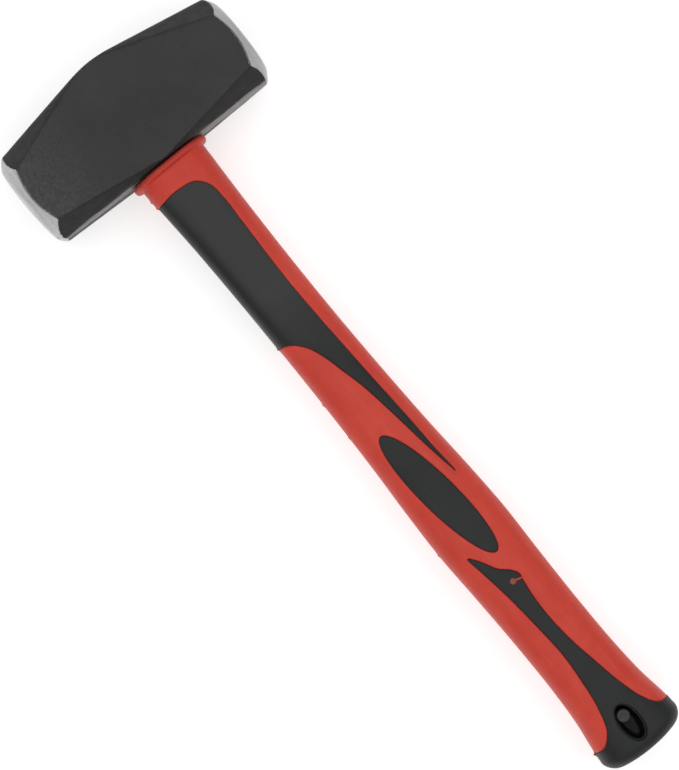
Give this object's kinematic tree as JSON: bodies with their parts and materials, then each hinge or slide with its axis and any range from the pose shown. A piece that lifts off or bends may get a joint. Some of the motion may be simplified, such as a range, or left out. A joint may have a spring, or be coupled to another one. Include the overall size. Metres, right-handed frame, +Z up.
{
  "type": "lump hammer",
  "caption": "Lump hammer: a short heavy octagonal forged head with turned striking faces on a flared handle with a soft grip over a hard jacket.",
  "frame": {"origin": "on the flat of the lower cheek of the head, straight below the axis of the eye, 22.5 mm from the underside of the head and midway between the two striking faces", "axes": "+X along the handle from the head to the butt, +Y the striking direction, +Z up through the upper cheek with the hammer lying on its lower cheek"},
  "size_m": [0.3809, 0.1204, 0.0464],
  "materials": {
    "head_steel": "satin",
    "red_rubber": "matte",
    "black_plastic": "matte",
    "glass_fibre": "satin",
    "resin": "gloss",
    "seal_rubber": "matte",
    "pin_plastic": "satin"
  },
  "bodies": {
    "root": {"hammer_head": "head_steel", "grip_overmould": "red_rubber", "handle_jacket": "black_plastic", "fibreglass_core": "glass_fibre", "epoxy_potting": "resin", "eye_seal": "seal_rubber", "core_cross_pin": "pin_plastic"}
  },
  "joints": []
}
